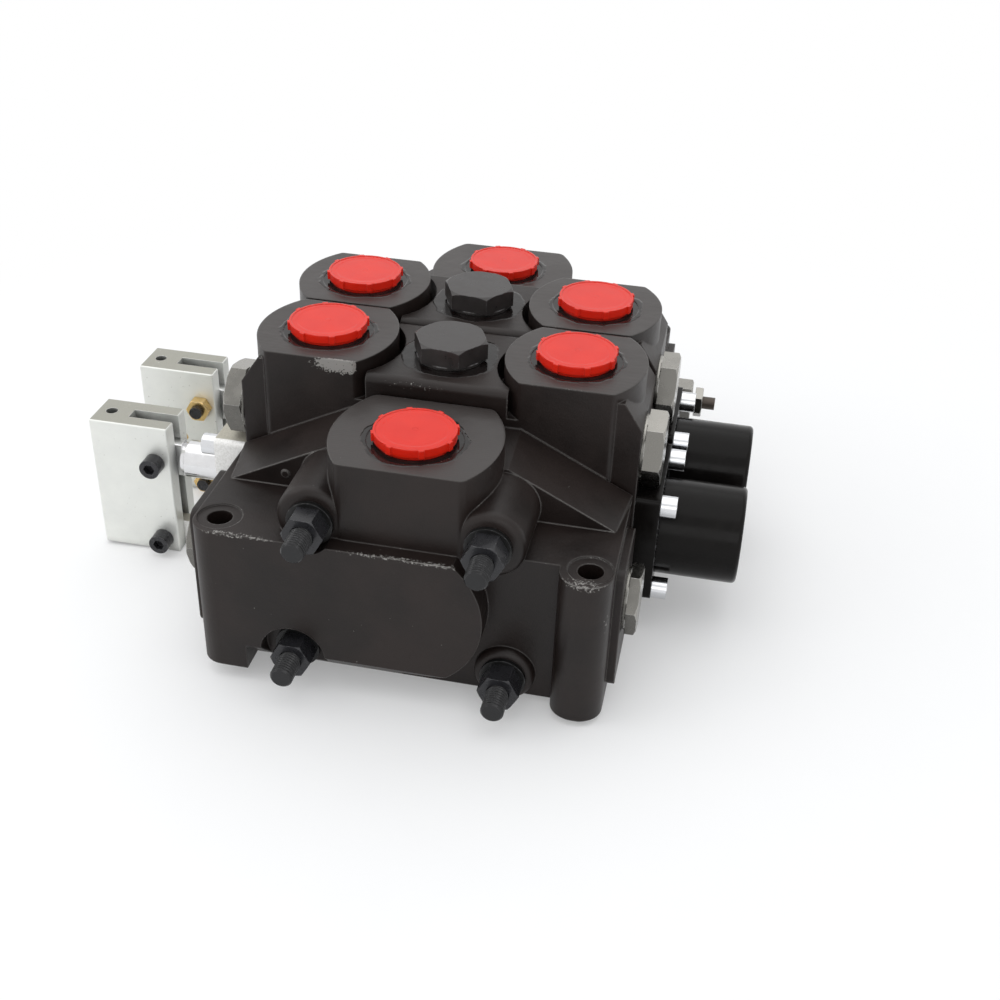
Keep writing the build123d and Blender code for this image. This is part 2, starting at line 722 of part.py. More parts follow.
def main_relief():
    """Body, poppet, spring, adjusting screw and lock nut of the main relief valve."""
    y = end_boss_y
    axis = Axis((0, y, side_plug_z), (1, 0, 0))
    seat_x = relief_nose_x + relief_seat_length
    barrel = relief_barrel_radius - thread_clearance
    poppet_end = seat_x + relief_poppet_length
    hexagon_x = right_pad_x + relief_flange_thickness
    lock_x = relief_hex_end_x + relief_lock_gap
    right_of = Plane((0, y, side_plug_z), x_dir=(0, 1, 0), z_dir=(1, 0, 0))
    with BuildPart() as body:
        hexagons(right_of.offset(hexagon_x), [(0, 0)], relief_across_flats, relief_hex_end_x - hexagon_x)
        rounds(right_of.offset(right_pad_x), [(0, 0)], relief_flange_radius, relief_flange_thickness)
        rounds(right_of.offset(relief_nose_x), [(0, 0)], barrel, right_pad_x - relief_nose_x)
        rounds(right_of.offset(relief_nose_x), [(0, 0)], relief_seat_radius, relief_seat_length,
               Mode.SUBTRACT)
        rounds(right_of.offset(seat_x), [(0, 0)], relief_bore_radius,
               relief_piston_x + relief_piston_thickness - seat_x, Mode.SUBTRACT)
        rounds(right_of.offset(relief_piston_x), [(0, 0)], relief_screw_radius + thread_clearance,
               relief_hex_end_x - relief_piston_x, Mode.SUBTRACT)
    with BuildPart() as poppet:
        with BuildSketch(Plane.XZ.offset(-y)):
            radius = relief_bore_radius - guide_clearance
            nose = relief_seat_radius - poppet_nose_clearance
            with BuildLine():
                Polyline(*[(x, side_plug_z + r) for x, r in
                           ((relief_nose_x + 1, 0), (relief_nose_x + 1, nose / 2), (seat_x, nose),
                            (seat_x, radius), (poppet_end, radius), (poppet_end, 0))], close=True)
            make_face()
        revolve(axis=axis)
    with BuildPart() as screw:
        rounds(right_of.offset(relief_piston_x), [(0, 0)], relief_bore_radius - guide_clearance,
               relief_piston_thickness)
        rounds(right_of.offset(relief_piston_x), [(0, 0)], relief_screw_radius,
               relief_screw_end_x - relief_piston_x)
    with BuildPart() as lock_nut:
        hexagons(right_of.offset(lock_x), [(0, 0)], relief_lock_across_flats, relief_lock_thickness,
                 relief_lock_turn)
        rounds(right_of.offset(lock_x), [(0, 0)], relief_screw_radius + thread_clearance,
               relief_lock_thickness, Mode.SUBTRACT)
    spring = coil_spring(right_of.offset(poppet_end), relief_piston_x - poppet_end,
                         relief_spring_radius, relief_spring_wire, relief_spring_turns)
    write(body.part, "main_relief_body")
    write(poppet.part, "main_relief_poppet")
    write(spring, "main_relief_spring")
    write(screw.part, "main_relief_screw")
    write(lock_nut.part, "main_relief_lock_nut")


# End castings
plug_bore = plug_shank_radius + thread_clearance
left_bore_end = left_pad_x + side_bore_depth
right_bore_start = right_pad_x - side_bore_depth
outlet = end_casting(
    [(x, end_boss_setback) for x, z in core_places],
    [(plug_bore, left_pad_x, left_bore_end), (gallery_radius, left_bore_end, right_bore_start),
     (plug_bore, right_bore_start, right_pad_x)],
    grooved=True)
inlet = end_casting(
    [(0, end_boss_setback), (-tank_core_x, inlet_tank_depths[0]), (tank_core_x, inlet_tank_depths[1])],
    [(plug_bore, left_pad_x, left_bore_end), (gallery_radius, left_bore_end, 0),
     (relief_nose_radius, 0, relief_nose_x), (relief_barrel_radius, relief_nose_x, right_pad_x)],
    grooved=False)
write(outlet, "outlet_section")
write(mirror(inlet, about=Plane.XZ), "inlet_section")

# Tie rods, their washers and nuts, and the seal rings between the castings
rod_end_y = seat_y + rod_overhang
with BuildPart() as tie_rods:
    rounds(Plane.XZ.offset(rod_end_y), rod_places, rod_radius, -2 * rod_end_y)
    chamfer(tie_rods.edges().filter_by(GeomType.CIRCLE), length=rod_end_chamfer)
write(tie_rods.part, "tie_rods")

with BuildPart() as washers:
    rounds(Plane.XZ.offset(seat_y), rod_places, washer_radius, washer_thickness)
    rounds(Plane.XZ.offset(seat_y), rod_places, rod_radius + rod_hole_clearance, washer_thickness,
           Mode.SUBTRACT)
    mirror(about=Plane.XZ)
write(washers.part, "tie_rod_washers")

nut_seat = Plane.XZ.offset(seat_y + washer_thickness)
with BuildPart() as nuts:
    hexagons(nut_seat, rod_places, nut_across_flats, nut_height)
    rounds(nut_seat, rod_places, rod_radius + thread_clearance, nut_height, Mode.SUBTRACT)
    mirror(about=Plane.XZ)
write(nuts.part, "tie_rod_nuts")

with BuildPart() as section_seals:
    for joint in range(section_count + 1):
        with BuildSketch(Plane.XZ.offset(stack_half - joint * section_pitch)):
            with Locations(*core_places):
                Circle(ring_mean_radius + ring_half_width)
                Circle(ring_mean_radius - ring_half_width, mode=Mode.SUBTRACT)
        extrude(amount=ring_groove_depth)
write(section_seals.part, "section_seals")

# Plugs and caps of the end castings
leftwards = {"x_dir": (0, -1, 0), "z_dir": (-1, 0, 0)}
rightwards = {"x_dir": (0, 1, 0), "z_dir": (1, 0, 0)}
for name, x, y, aim, turn in (("outlet_plug_left", left_pad_x, -end_boss_y, leftwards, 10),
                              ("outlet_plug_right", right_pad_x, -end_boss_y, rightwards, 0),
                              ("inlet_plug_left", left_pad_x, end_boss_y, leftwards, 25)):
    seat = Plane((x, y, side_plug_z), **aim)
    write(hexagon_plug(seat, turn, plug_shank_radius, plug_shank_length, side_plug_across_flats,
                       side_plug_head_height), name)
write(port_cap(0, -end_boss_y, end_boss_top), "outlet_port_cap")
write(port_cap(0, end_boss_y, end_boss_top), "inlet_port_cap")
main_relief()

# Work sections, front to back
fork_bolts = [(lever_pin_x, lever_pin_z), (lever_pin_x, fulcrum_z)]
for number, mid in enumerate(section_mids, 1):
    write(work_casting(mid), f"work_section_{number}")
    write(port_cap(-port_x, mid, port_boss_top), f"work_port_cap_a{number}")
    write(port_cap(port_x, mid, port_boss_top), f"work_port_cap_b{number}")
    plug_y = mid - service_plug_offset
    for side, x, aim, turn in (("left", left_face, leftwards, 12 * number),
                               ("right", right_face, rightwards, 20 * number)):
        seat = Plane((x, plug_y, service_plug_z), **aim)
        write(hexagon_plug(seat, turn, plug_shank_radius, plug_shank_length),
              f"service_plug_{side}_{number}")

    # Load check
    write(check_plug(mid, 15), f"check_plug_{number}")
    write(check_poppet(mid), f"check_poppet_{number}")
    poppet_top = check_bore_floor + poppet_thickness
    spring = coil_spring(Plane((0, mid, poppet_top)), land_z - check_shank_length - poppet_top,
                         check_spring_radius, check_spring_wire, check_spring_turns)
    write(spring, f"check_spring_{number}")

    # Spool, and the springs that centre it
    write(valve_spool(mid), f"spool_{number}")
    write(cap_flange(mid), f"cap_flange_{number}")
    write(spring_cap(mid), f"spring_cap_{number}")
    with BuildPart() as collar:
        rounds(Plane.YZ.offset(tail_end_x), [(mid, spool_z)], collar_radius, collar_thickness)
        rounds(Plane.YZ.offset(tail_end_x), [(mid, spool_z)], end_bolt_radius + bolt_hole_clearance,
               collar_thickness, Mode.SUBTRACT)
    write(collar.part, f"spring_collar_{number}")
    collar_end = tail_end_x + collar_thickness
    write(socket_screws(Plane.YZ.offset(collar_end), [(mid, spool_z)], end_bolt_radius,
                        collar_thickness + end_bolt_grip), f"spool_end_bolt_{number}")
    spring_floor = Plane((spring_floor_x, mid, spool_z), **rightwards)
    write(coil_spring(spring_floor, tail_end_x - spring_floor_x, spring_mean_radius,
                      spring_wire_radius, spring_turns), f"centring_spring_inner_{number}")
    collar_face = Plane((collar_end, mid, spool_z), **rightwards)
    write(coil_spring(collar_face, cap_end_x - cap_end_wall - collar_end, spring_mean_radius,
                      spring_wire_radius, spring_turns), f"centring_spring_outer_{number}")

    # Bracket and lever
    write(lever_bracket(mid), f"lever_bracket_{number}")
    write(lever_fork(mid), f"lever_fork_{number}")

# Wiper rings, two on each spool
with BuildPart() as wipers:
    for first in (left_face + wiper_end_gap, right_face - wiper_depth):
        with BuildSketch(Plane.YZ.offset(first)):
            with Locations(*[(mid, spool_z) for mid in section_mids]):
                Circle(wiper_radius - wiper_clearance)
                Circle(rod_end_radius + wiper_clearance, mode=Mode.SUBTRACT)
        extrude(amount=wiper_depth - wiper_end_gap)
write(wipers.part, "spool_wipers")

# Flange screws
flange_places = [(mid + y, z) for mid in section_mids for y, z in screw_places]
write(socket_screws(Plane.YZ.offset(bracket_face), flange_places, screw_radius,
                    bracket_thickness + screw_grip, out=-1), "bracket_screws")
write(socket_screws(Plane.YZ.offset(cap_seat_x), flange_places, screw_radius,
                    cap_flange_thickness + screw_grip), "cap_screws")

# Fork bolts with their heads on the outer side of each lever, and their nuts
head_side = Plane.XZ.offset(-section_mids[0] + lever_width / 2)
nut_side = head_side.offset(-lever_width)
bolt_length = lever_width + lever_nut_height + lever_bolt_tail
fork_bolt_pair = socket_screws(head_side, fork_bolts, lever_bolt_radius, bolt_length)
with BuildPart() as fork_nut_pair:
    hexagons(Plane(nut_side.origin, x_dir=(1, 0, 0), z_dir=(0, 1, 0)),
             [(x, -z) for x, z in fork_bolts], lever_nut_across_flats, lever_nut_height)
    rounds(nut_side, fork_bolts, lever_bolt_radius + thread_clearance, -lever_nut_height,
           Mode.SUBTRACT)
write(fork_bolt_pair, "fork_bolts_1")
write(fork_nut_pair.part, "fork_nuts_1")
write(mirror(fork_bolt_pair, about=Plane.XZ), "fork_bolts_2")
write(mirror(fork_nut_pair.part, about=Plane.XZ), "fork_nuts_2")
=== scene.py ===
import bmesh
import bpy
import math
from mathutils import Matrix, Vector


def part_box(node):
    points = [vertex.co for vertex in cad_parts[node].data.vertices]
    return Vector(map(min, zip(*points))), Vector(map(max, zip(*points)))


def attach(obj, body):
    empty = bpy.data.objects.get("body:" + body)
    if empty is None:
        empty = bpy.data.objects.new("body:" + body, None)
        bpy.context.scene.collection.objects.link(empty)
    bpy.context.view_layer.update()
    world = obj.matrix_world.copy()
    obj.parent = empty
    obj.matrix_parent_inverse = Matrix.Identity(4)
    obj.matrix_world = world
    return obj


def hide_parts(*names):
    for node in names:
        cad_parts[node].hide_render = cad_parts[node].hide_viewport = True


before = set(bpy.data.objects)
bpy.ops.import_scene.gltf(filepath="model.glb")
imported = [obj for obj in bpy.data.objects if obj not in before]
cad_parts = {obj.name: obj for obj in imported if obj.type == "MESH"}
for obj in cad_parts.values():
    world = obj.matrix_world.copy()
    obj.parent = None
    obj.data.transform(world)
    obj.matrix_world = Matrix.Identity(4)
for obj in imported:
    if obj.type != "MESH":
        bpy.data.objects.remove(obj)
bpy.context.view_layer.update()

# The two end castings and the two work sections. Grey iron, sand cast and painted dark brown in
# one satin coat; port bosses are milled flat. The coat is chipped to bare iron along some edges,
# and oil has crept out round every cap and check plug.


def connect(holder, **sockets):
    """Links or sets a node's inputs, which are given by name, or by number as i0, i1 and so on."""
    for key, value in sockets.items():
        numbered = key[0] == "i" and key[1:].isdigit()
        socket = holder.inputs[int(key[1:]) if numbered else key.replace("_", " ")]
        if isinstance(value, bpy.types.NodeSocket):
            holder.id_data.links.new(value, socket)
        else:
            socket.default_value = value


def node_maker(tree):
    """A short way to add nodes to one tree."""
    def node(kind, settings=None, **sockets):
        made = tree.nodes.new(kind)
        for key, value in (settings or {}).items():
            setattr(made, key, value)
        connect(made, **sockets)
        return made

    return node


def blank_material(name):
    """A node material, its shader and a short way to add nodes to it."""
    material = bpy.data.materials.new(name)
    material.use_nodes = True
    tree = material.node_tree
    return material, tree.nodes["Principled BSDF"], node_maker(tree)


def noise(node, place, scale, detail=2.0, roughness=0.5):
    return node("ShaderNodeTexNoise", Vector=place, Scale=scale, Detail=detail,
                Roughness=roughness).outputs["Fac"]


def ramp(node, value, low, high, first=0.0, last=1.0):
    """Goes from first to last, with soft ends, as the value goes from low to high."""
    made = node("ShaderNodeMapRange", {"interpolation_type": "SMOOTHSTEP"}, Value=value, i1=low,
                i2=high, i3=first, i4=last)
    return made.outputs[0]


def maths(node, kind, *values):
    return node("ShaderNodeMath", {"operation": kind},
                **{f"i{place}": value for place, value in enumerate(values)}).outputs[0]


def blend_colour(node, share, first, second):
    """Goes from the first colour to the second; each is a node's output or three numbers."""
    first, second = (colour if isinstance(colour, bpy.types.NodeSocket) else (*colour, 1)
                     for colour in (first, second))
    return node("ShaderNodeMix", {"data_type": "RGBA"}, i0=share, i6=first, i7=second).outputs[2]


def shade(colour, factor):
    return [min(1.0, factor * channel) for channel in colour]


def edge_share(node, radius, sharpest=0.85):
    """1 on an edge within the radius and 0 on the flats, and the normal of the rounded edge."""
    rounded = node("ShaderNodeBevel", {"samples": 6}, Radius=radius).outputs[0]
    true = node("ShaderNodeNewGeometry").outputs["Normal"]
    dot = node("ShaderNodeVectorMath", {"operation": "DOT_PRODUCT"}, i0=rounded, i1=true)
    return ramp(node, dot.outputs["Value"], sharpest, 0.995, 1.0, 0.0), rounded


def facing_up(node):
    normal = node("ShaderNodeSeparateXYZ", Vector=node("ShaderNodeNewGeometry").outputs["Normal"])
    return maths(node, "GREATER_THAN", normal.outputs["Z"], 0.995)


def nearness(node, place, centre, reach):
    """1 at the centre of an ellipsoid with these half axes, falling to 0 at its skin."""
    offset = node("ShaderNodeVectorMath", {"operation": "SUBTRACT"}, i0=place, i1=centre)
    scaled = node("ShaderNodeVectorMath", {"operation": "DIVIDE"}, i0=offset.outputs[0], i1=reach)
    length = node("ShaderNodeVectorMath", {"operation": "LENGTH"}, i0=scaled.outputs[0])
    return ramp(node, length.outputs["Value"], 0.3, 1.0, 1.0, 0.0)


def box_centre(name):
    low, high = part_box(name)
    return (low + high) / 2


port_centres = [box_centre(name) for name in ("work_port_cap_b2", "inlet_port_cap", "check_plug_2")]


def port_distance(node, place):
    """Distance in plan to the nearest cap or check plug; their places mirror in X and in Y."""
    folded = node("ShaderNodeVectorMath", {"operation": "ABSOLUTE"}, i0=place)
    flat = node("ShaderNodeVectorMath", {"operation": "MULTIPLY"}, i0=folded.outputs[0],
                i1=(1, 1, 0))
    nearest = 1.0
    for centre in port_centres:
        away = node("ShaderNodeVectorMath", {"operation": "DISTANCE"}, i0=flat.outputs[0],
                    i1=(abs(centre.x), abs(centre.y), 0))
        nearest = maths(node, "MINIMUM", nearest, away.outputs["Value"])
    return nearest


def painted_iron(name, tint):
    milled_heights = (0.1313, 0.1474)
    milled_tones_with_sheen = ((0.041, 0.0355, 0.0335), (0.046, 0.040, 0.038))
    bare_iron = (0.27, 0.26, 0.245)
    # Paler brown for the edges: worn paint and a painted highlight
    rubbed_paint_and_highlight = (0.20, 0.19, 0.18)
    wet_oil = (0.004, 0.003, 0.003)
    oil_reach, oil_edge, oil_waver = 0.0215, 0.0230, -0.008
    edge_radius = 0.0013
    edge_chipping = 0.27
    chips_start, chips_full = 0.81, 0.86
    edge_rub_and_highlight, ridge_rub_and_highlight = 0.30, 0.6
    # Centre, half axes and strength of the places where most of the coat is chipped off
    worn_places = (((-0.0520, -0.0700, 0.1450), (0.025, 0.004, 0.0090), 0.50),
                   ((-0.0820, -0.1530, 0.0880), (0.034, 0.005, 0.0030), 0.30),
                   ((0.0120, -0.1530, 0.0880), (0.075, 0.005, 0.0030), 0.30),
                   ((0.0930, -0.1500, 0.0870), (0.016, 0.010, 0.0045), 0.30),
                   ((0.1040, -0.1450, 0.0640), (0.004, 0.006, 0.0200), 0.30),
                   ((-0.0120, -0.0690, 0.1380), (0.030, 0.006, 0.0050), 0.20))
    ridge_places = ((-0.079, -0.102, 0.099), (0.076, -0.102, 0.101))
    ridge_reach = (0.042, 0.016, 0.024)

    material, shader, node = blank_material(name)
    place = node("ShaderNodeTexCoord").outputs["Object"]
    grain = noise(node, place, 1100, 3.0, 0.6)
    lumps = noise(node, place, 95)
    stain = noise(node, place, 22, 3.0, 0.55)
    chips = noise(node, place, 800, 4.0, 0.7)
    drift = ramp(node, noise(node, place, 48), 0.46, 0.62)
    edges, rounded = edge_share(node, edge_radius, 0.80)

    # Milled tops look straight up at a machined height, with faint marks of the cutter; they are
    # coloured lighter than the coat, a painted sheen of the light from above
    up = facing_up(node)
    height = node("ShaderNodeSeparateXYZ", Vector=place).outputs["Z"]
    heights = [maths(node, "COMPARE", height, level, 0.0006) for level in milled_heights]
    milled = maths(node, "MULTIPLY", up, maths(node, "ADD", *heights))
    marks = node("ShaderNodeTexWave", {"wave_type": "RINGS"}, Vector=place, Scale=260,
                 Distortion=2.0, Detail=2.0).outputs["Fac"]

    # Oil lies in an uneven ring round each cap and plug
    ring = maths(node, "ADD", port_distance(node, place),
                 maths(node, "MULTIPLY", noise(node, place, 70, 2.0, 0.6), oil_waver))
    film = maths(node, "MULTIPLY", ramp(node, ring, oil_reach, oil_edge, 1.0, 0.0), up)

    # Bare iron shows in chips along the edges, in the worn places and in a few stray specks
    worn = 0.0
    for centre, reach, strength in worn_places:
        near = maths(node, "MULTIPLY", nearness(node, place, centre, reach), strength)
        worn = maths(node, "MAXIMUM", worn, near)
    edge_chips = maths(node, "MULTIPLY", edges, drift)
    chipped = maths(node, "MULTIPLY_ADD", edge_chips, edge_chipping, chips)
    bare = ramp(node, maths(node, "ADD", worn, chipped), chips_start, chips_full)
    specks = ramp(node, noise(node, place, 420), 0.78, 0.80)
    bare = maths(node, "MAXIMUM", bare, maths(node, "MULTIPLY", specks, 0.5))

    # Edges are painted a paler brown: partly worn paint, partly a painted highlight. The thin
    # ridges of the front casting's wings get more of it than the other edges
    ridge = maths(node, "MULTIPLY", maths(node, "MULTIPLY", edges, 8.0),
                  ramp(node, grain, 0.35, 0.6, 0.3, 1.0))
    rubbed_and_highlit = maths(node, "MULTIPLY", edges, edge_rub_and_highlight)
    for centre in ridge_places:
        near = maths(node, "MULTIPLY", nearness(node, place, centre, ridge_reach), ridge)
        rubbed_and_highlit = maths(node, "MAXIMUM", rubbed_and_highlit, maths(node, "MINIMUM", near, ridge_rub_and_highlight))

    skin = blend_colour(node, ramp(node, stain, 0.3, 0.7), shade(tint, 0.65), shade(tint, 1.3))
    coat = blend_colour(node, milled, skin, blend_colour(node, marks, *milled_tones_with_sheen))
    # Painted highlight, with some real wear: edges blend towards the paler brown
    coat = blend_colour(node, rubbed_and_highlit, coat, rubbed_paint_and_highlight)
    coat = blend_colour(node, maths(node, "MULTIPLY", film, 0.75), coat, wet_oil)
    rough = maths(node, "MULTIPLY_ADD", milled, -0.07, ramp(node, stain, 0.3, 0.7, 0.35, 0.46))
    flatness = maths(node, "SUBTRACT", 1.0, maths(node, "MULTIPLY", milled, 0.8))
    broad = node("ShaderNodeBump", Strength=0.35, Distance=0.0006, Height=lumps, Normal=rounded)
    fine = node("ShaderNodeBump", Strength=maths(node, "MULTIPLY", flatness, 0.38),
                Distance=0.00022, Height=grain, Normal=broad.outputs[0])
    rim = node("ShaderNodeBump", Strength=0.6, Distance=0.0005, Height=film, Normal=fine.outputs[0])
    connect(shader, Base_Color=blend_colour(node, bare, coat, bare_iron),
            Roughness=maths(node, "MULTIPLY_ADD", film, -0.34, rough),
            Specular_IOR_Level=0.30, Normal=rim.outputs[0])
    return material


def finish_nodes(names, material):
    for name in names:
        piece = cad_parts[name]
        piece.data.materials.clear()
        piece.data.materials.append(material)


finish_nodes(("outlet_section", "inlet_section", "work_section_1", "work_section_2"),
             painted_iron("casting_paint", (0.0140, 0.0094, 0.0082)))

# Tie rods, nuts and washers. Four M12 steel rods clamp the stack through all four castings; they
# are blackened, with a thread rolled on both ends, and the nuts bear on flat hardened washers.


def blackened_steel(name, colour, roughness, rounding=0.0004, metallic=0.3, specular=0.5):
    rubbed_steel_and_highlight = (0.28, 0.28, 0.29)
    material, shader, node = blank_material(name)
    place = node("ShaderNodeTexCoord").outputs["Object"]
    cloud = noise(node, place, 160, 3.0, 0.6)
    edges, rounded = edge_share(node, rounding)
    tone = blend_colour(node, cloud, shade(colour, 0.7), shade(colour, 1.3))
    # Edges are painted a lighter grey: a painted highlight, partly worn steel
    rub_and_highlight = maths(node, "MULTIPLY", edges, ramp(node, noise(node, place, 500, 3.0, 0.6), 0.42, 0.62))
    tone = blend_colour(node, maths(node, "MULTIPLY", rub_and_highlight, 0.45), tone, rubbed_steel_and_highlight)
    bump = node("ShaderNodeBump", Strength=0.2, Distance=0.00008, Height=noise(node, place, 1500),
                Normal=rounded)
    connect(shader, Base_Color=tone, Metallic=metallic, Specular_IOR_Level=specular,
            Roughness=ramp(node, cloud, 0.3, 0.7, roughness - 0.06, roughness + 0.07),
            Normal=bump.outputs[0])
    return material


black_steel = blackened_steel("black_steel", (0.026, 0.026, 0.029), 0.27)
finish_nodes(("tie_rod_nuts",), black_steel)
# The washers are coloured darker than the nuts: painted shade round the nuts
finish_nodes(("tie_rod_washers",), blackened_steel("washer_black_shaded", (0.010, 0.010, 0.010), 0.36))

rod_radius = 0.006
rod_sides = 48
thread_depth = 0.00075
thread_pitch = 0.00175
thread_length = 0.045
upper_rods = ((-0.045, 0.096), (0.045, 0.096))
lower_rods = ((-0.055, 0.0165), (0.055, 0.0165))
rod_low, rod_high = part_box("tie_rods")


def new_piece(name, fill_mesh, material, body):
    """A mesh piece that rides on a body, made by a function that fills a bmesh."""
    mesh = bpy.data.meshes.new(name)
    made = bmesh.new()
    fill_mesh(made)
    bmesh.ops.recalc_face_normals(made, faces=made.faces)
    made.to_mesh(mesh)
    made.free()
    piece = bpy.data.objects.new(name, mesh)
    bpy.context.scene.collection.objects.link(piece)
    mesh.materials.append(material)
    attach(piece, body)
    return piece


def revolved(mesh, profile, centre, along, sides):
    """Revolves (distance along, radius) pairs round an axis that starts at the centre."""
    along = Vector(along).normalized()
    across = along.orthogonal().normalized()
    third = along.cross(across)
    angles = [2 * math.pi * step / sides for step in range(sides)]
    spokes = [across * math.cos(angle) + third * math.sin(angle) for angle in angles]
    rings = []
    for distance, radius in profile:
        middle = Vector(centre) + along * distance
        rings.append([mesh.verts.new(middle + spoke * radius) for spoke in spokes])
    for lower, upper in zip(rings, rings[1:]):
        for step in range(sides):
            following = (step + 1) % sides
            mesh.faces.new((lower[step], lower[following], upper[following], upper[step]))
    mesh.faces.new(rings[0])
    mesh.faces.new(rings[-1])


def thread_profile(start, end, radius, depth, pitch):
    """Crests and roots of a rolled thread between two distances, with a chamfered tip at start."""
    profile = [(start, radius - 1.3 * depth), (start + depth, radius - 0.2 * depth)]
    distance = start + depth
    while distance + pitch < end:
        profile += [(distance + 0.12 * pitch, radius), (distance + 0.32 * pitch, radius),
                    (distance + 0.55 * pitch, radius - depth),
                    (distance + 0.72 * pitch, radius - depth)]
        distance += pitch
    return profile + [(distance + 0.1 * pitch, radius)]


def threaded_rods(mesh):
    length = rod_high.y - rod_low.y
    near = thread_profile(0, thread_length, rod_radius, thread_depth, thread_pitch)
    far = [(length - distance, radius) for distance, radius in reversed(near)]
    for x, z in upper_rods + lower_rods:
        revolved(mesh, near + far, (x, rod_low.y, z), (0, 1, 0), rod_sides)


rod_steel = blackened_steel("rod_black", (0.012, 0.012, 0.013), 0.20)
rods = new_piece("threaded_tie_rods", threaded_rods, rod_steel, "stack")
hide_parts("tie_rods")

# Seal rings and spool wipers. Moulded nitrile rubber, squeezed in grooves between the castings
# and pressed into the ends of the spool bores.


def rubber(name):
    material, shader, node = blank_material(name)
    place = node("ShaderNodeTexCoord").outputs["Object"]
    dust = noise(node, place, 300, 3.0, 0.6)
    tone = blend_colour(node, dust, (0.012, 0.012, 0.012), (0.03, 0.03, 0.03))
    bump = node("ShaderNodeBump", Strength=0.2, Distance=0.0001, Height=dust)
    connect(shader, Base_Color=tone, Roughness=ramp(node, dust, 0.2, 0.8, 0.5, 0.75),
            Normal=bump.outputs[0])
    return material


finish_nodes(("section_seals", "spool_wipers"), rubber("seal_rubber"))

# Port caps. Soft red polyethylene, injection moulded with eight grip ribs and pushed into the
# ports to keep dirt out. The glossy skin is a little wavy, with the mark of the mould's gate.


def moulded_red(name):
    gate_radius, gate_slope = 0.0016, 0.0003
    dish_radius, dish_slope = 0.0168, 0.0006
    pale_rim_red = (0.90, 0.12, 0.08)
    material, shader, node = blank_material(name)
    place = node("ShaderNodeTexCoord").outputs["Object"]
    cloud = noise(node, place, 70)
    edges, rounded = edge_share(node, 0.0007, 0.80)
    tone = blend_colour(node, cloud, (0.66, 0.012, 0.004), (0.78, 0.022, 0.007))
    # Edges are blended towards a paler red
    tone = blend_colour(node, maths(node, "MULTIPLY", edges, 0.22), tone, pale_rim_red)
    away = port_distance(node, place)
    gate = ramp(node, away, gate_radius - gate_slope, gate_radius, 1.0, 0.0)
    dish = ramp(node, away, dish_radius - dish_slope, dish_radius + dish_slope)
    raised = maths(node, "MULTIPLY_ADD", dish, 0.5, gate)
    waves = node("ShaderNodeBump", Strength=0.3, Distance=0.0004, Height=noise(node, place, 130),
                 Normal=rounded)
    bump = node("ShaderNodeBump", Strength=0.5, Distance=0.0004, Height=raised,
                Normal=waves.outputs[0])
    connect(shader, Base_Color=tone, Roughness=ramp(node, cloud, 0.3, 0.7, 0.13, 0.24),
            Subsurface_Weight=0.12, Subsurface_Radius=(0.004, 0.001, 0.001), Subsurface_Scale=0.5,
            Specular_IOR_Level=0.30, Normal=bump.outputs[0])
    return material


finish_nodes(("outlet_port_cap", "inlet_port_cap", "work_port_cap_a1", "work_port_cap_a2",
              "work_port_cap_b1", "work_port_cap_b2"), moulded_red("cap_plastic"))

# Load check plugs with the poppet and spring under each. The hexagon plugs are oiled black steel,
# screwed down on the middle of each work section.


def turned_plug(name, axis, degrees, material):
    """A copy of a plug, turned about its own axis to where the spanner left it."""
    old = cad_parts[name]
    centre = Matrix.Translation(box_centre(name))
    mesh = old.data.copy()
    spin = Matrix.Rotation(math.radians(degrees), 4, axis)
    mesh.transform(centre @ spin @ centre.inverted() @ old.matrix_world)
    mesh.materials.clear()
    mesh.materials.append(material)
    piece = bpy.data.objects.new(name + "_turned", mesh)
    bpy.context.scene.collection.objects.link(piece)
    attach(piece, "stack")
    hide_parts(name)


oiled_steel = blackened_steel("oiled_black_steel", (0.034, 0.030, 0.029), 0.33, 0.0007, 0.15)
turned_plug("check_plug_1", "Z", -20.5, oiled_steel)
turned_plug("check_plug_2", "Z", -21.0, oiled_steel)


def bright_steel(name, colour, roughness, rounding=0.0004, shaded_share=1.0):
    """Plain or plated steel; flats that look forward, back or down are painted darker, to
    shaded_share of their tone: painted shade and dark reflection, partly oil.
    """
    pale_edge_tone = (0.86, 0.86, 0.85)
    material, shader, node = blank_material(name)
    place = node("ShaderNodeTexCoord").outputs["Object"]
    cloud = noise(node, place, 120, 3.0, 0.55)
    edges, rounded = edge_share(node, rounding)
    tone = blend_colour(node, cloud, shade(colour, 0.86), shade(colour, 1.08))
    # Painted shade and dark reflection, partly oil, on flats that face forward or down
    if shaded_share < 1:
        true = node("ShaderNodeNewGeometry").outputs["Normal"]
        normal = node("ShaderNodeSeparateXYZ", Vector=true)
        flank = maths(node, "LESS_THAN", maths(node, "ABSOLUTE", normal.outputs["X"]), 0.6)
        oil_and_shade = maths(node, "MULTIPLY", ramp(node, normal.outputs["Z"], 0.55, 0.9, 1.0, 0.0), flank)
        oily_and_shaded = blend_colour(node, cloud, shade(colour, 0.7 * shaded_share), shade(colour, 1.2 * shaded_share))
        tone = blend_colour(node, oil_and_shade, tone, oily_and_shaded)
    # Edges are blended towards a pale grey
    tone = blend_colour(node, maths(node, "MULTIPLY", edges, 0.4), tone, pale_edge_tone)
    bump = node("ShaderNodeBump", Strength=0.12, Distance=0.00006, Height=noise(node, place, 900),
                Normal=rounded)
    connect(shader, Base_Color=tone, Metallic=1.0,
            Roughness=ramp(node, cloud, 0.25, 0.75, roughness - 0.05, roughness + 0.08),
            Normal=bump.outputs[0])
    return material


ground_steel = bright_steel("ground_steel", (0.76, 0.76, 0.77), 0.12)
spring_wire = bright_steel("spring_wire", (0.34, 0.34, 0.35), 0.35)
finish_nodes(("check_poppet_1", "check_poppet_2"), ground_steel)
finish_nodes(("check_spring_1", "check_spring_2"), spring_wire)

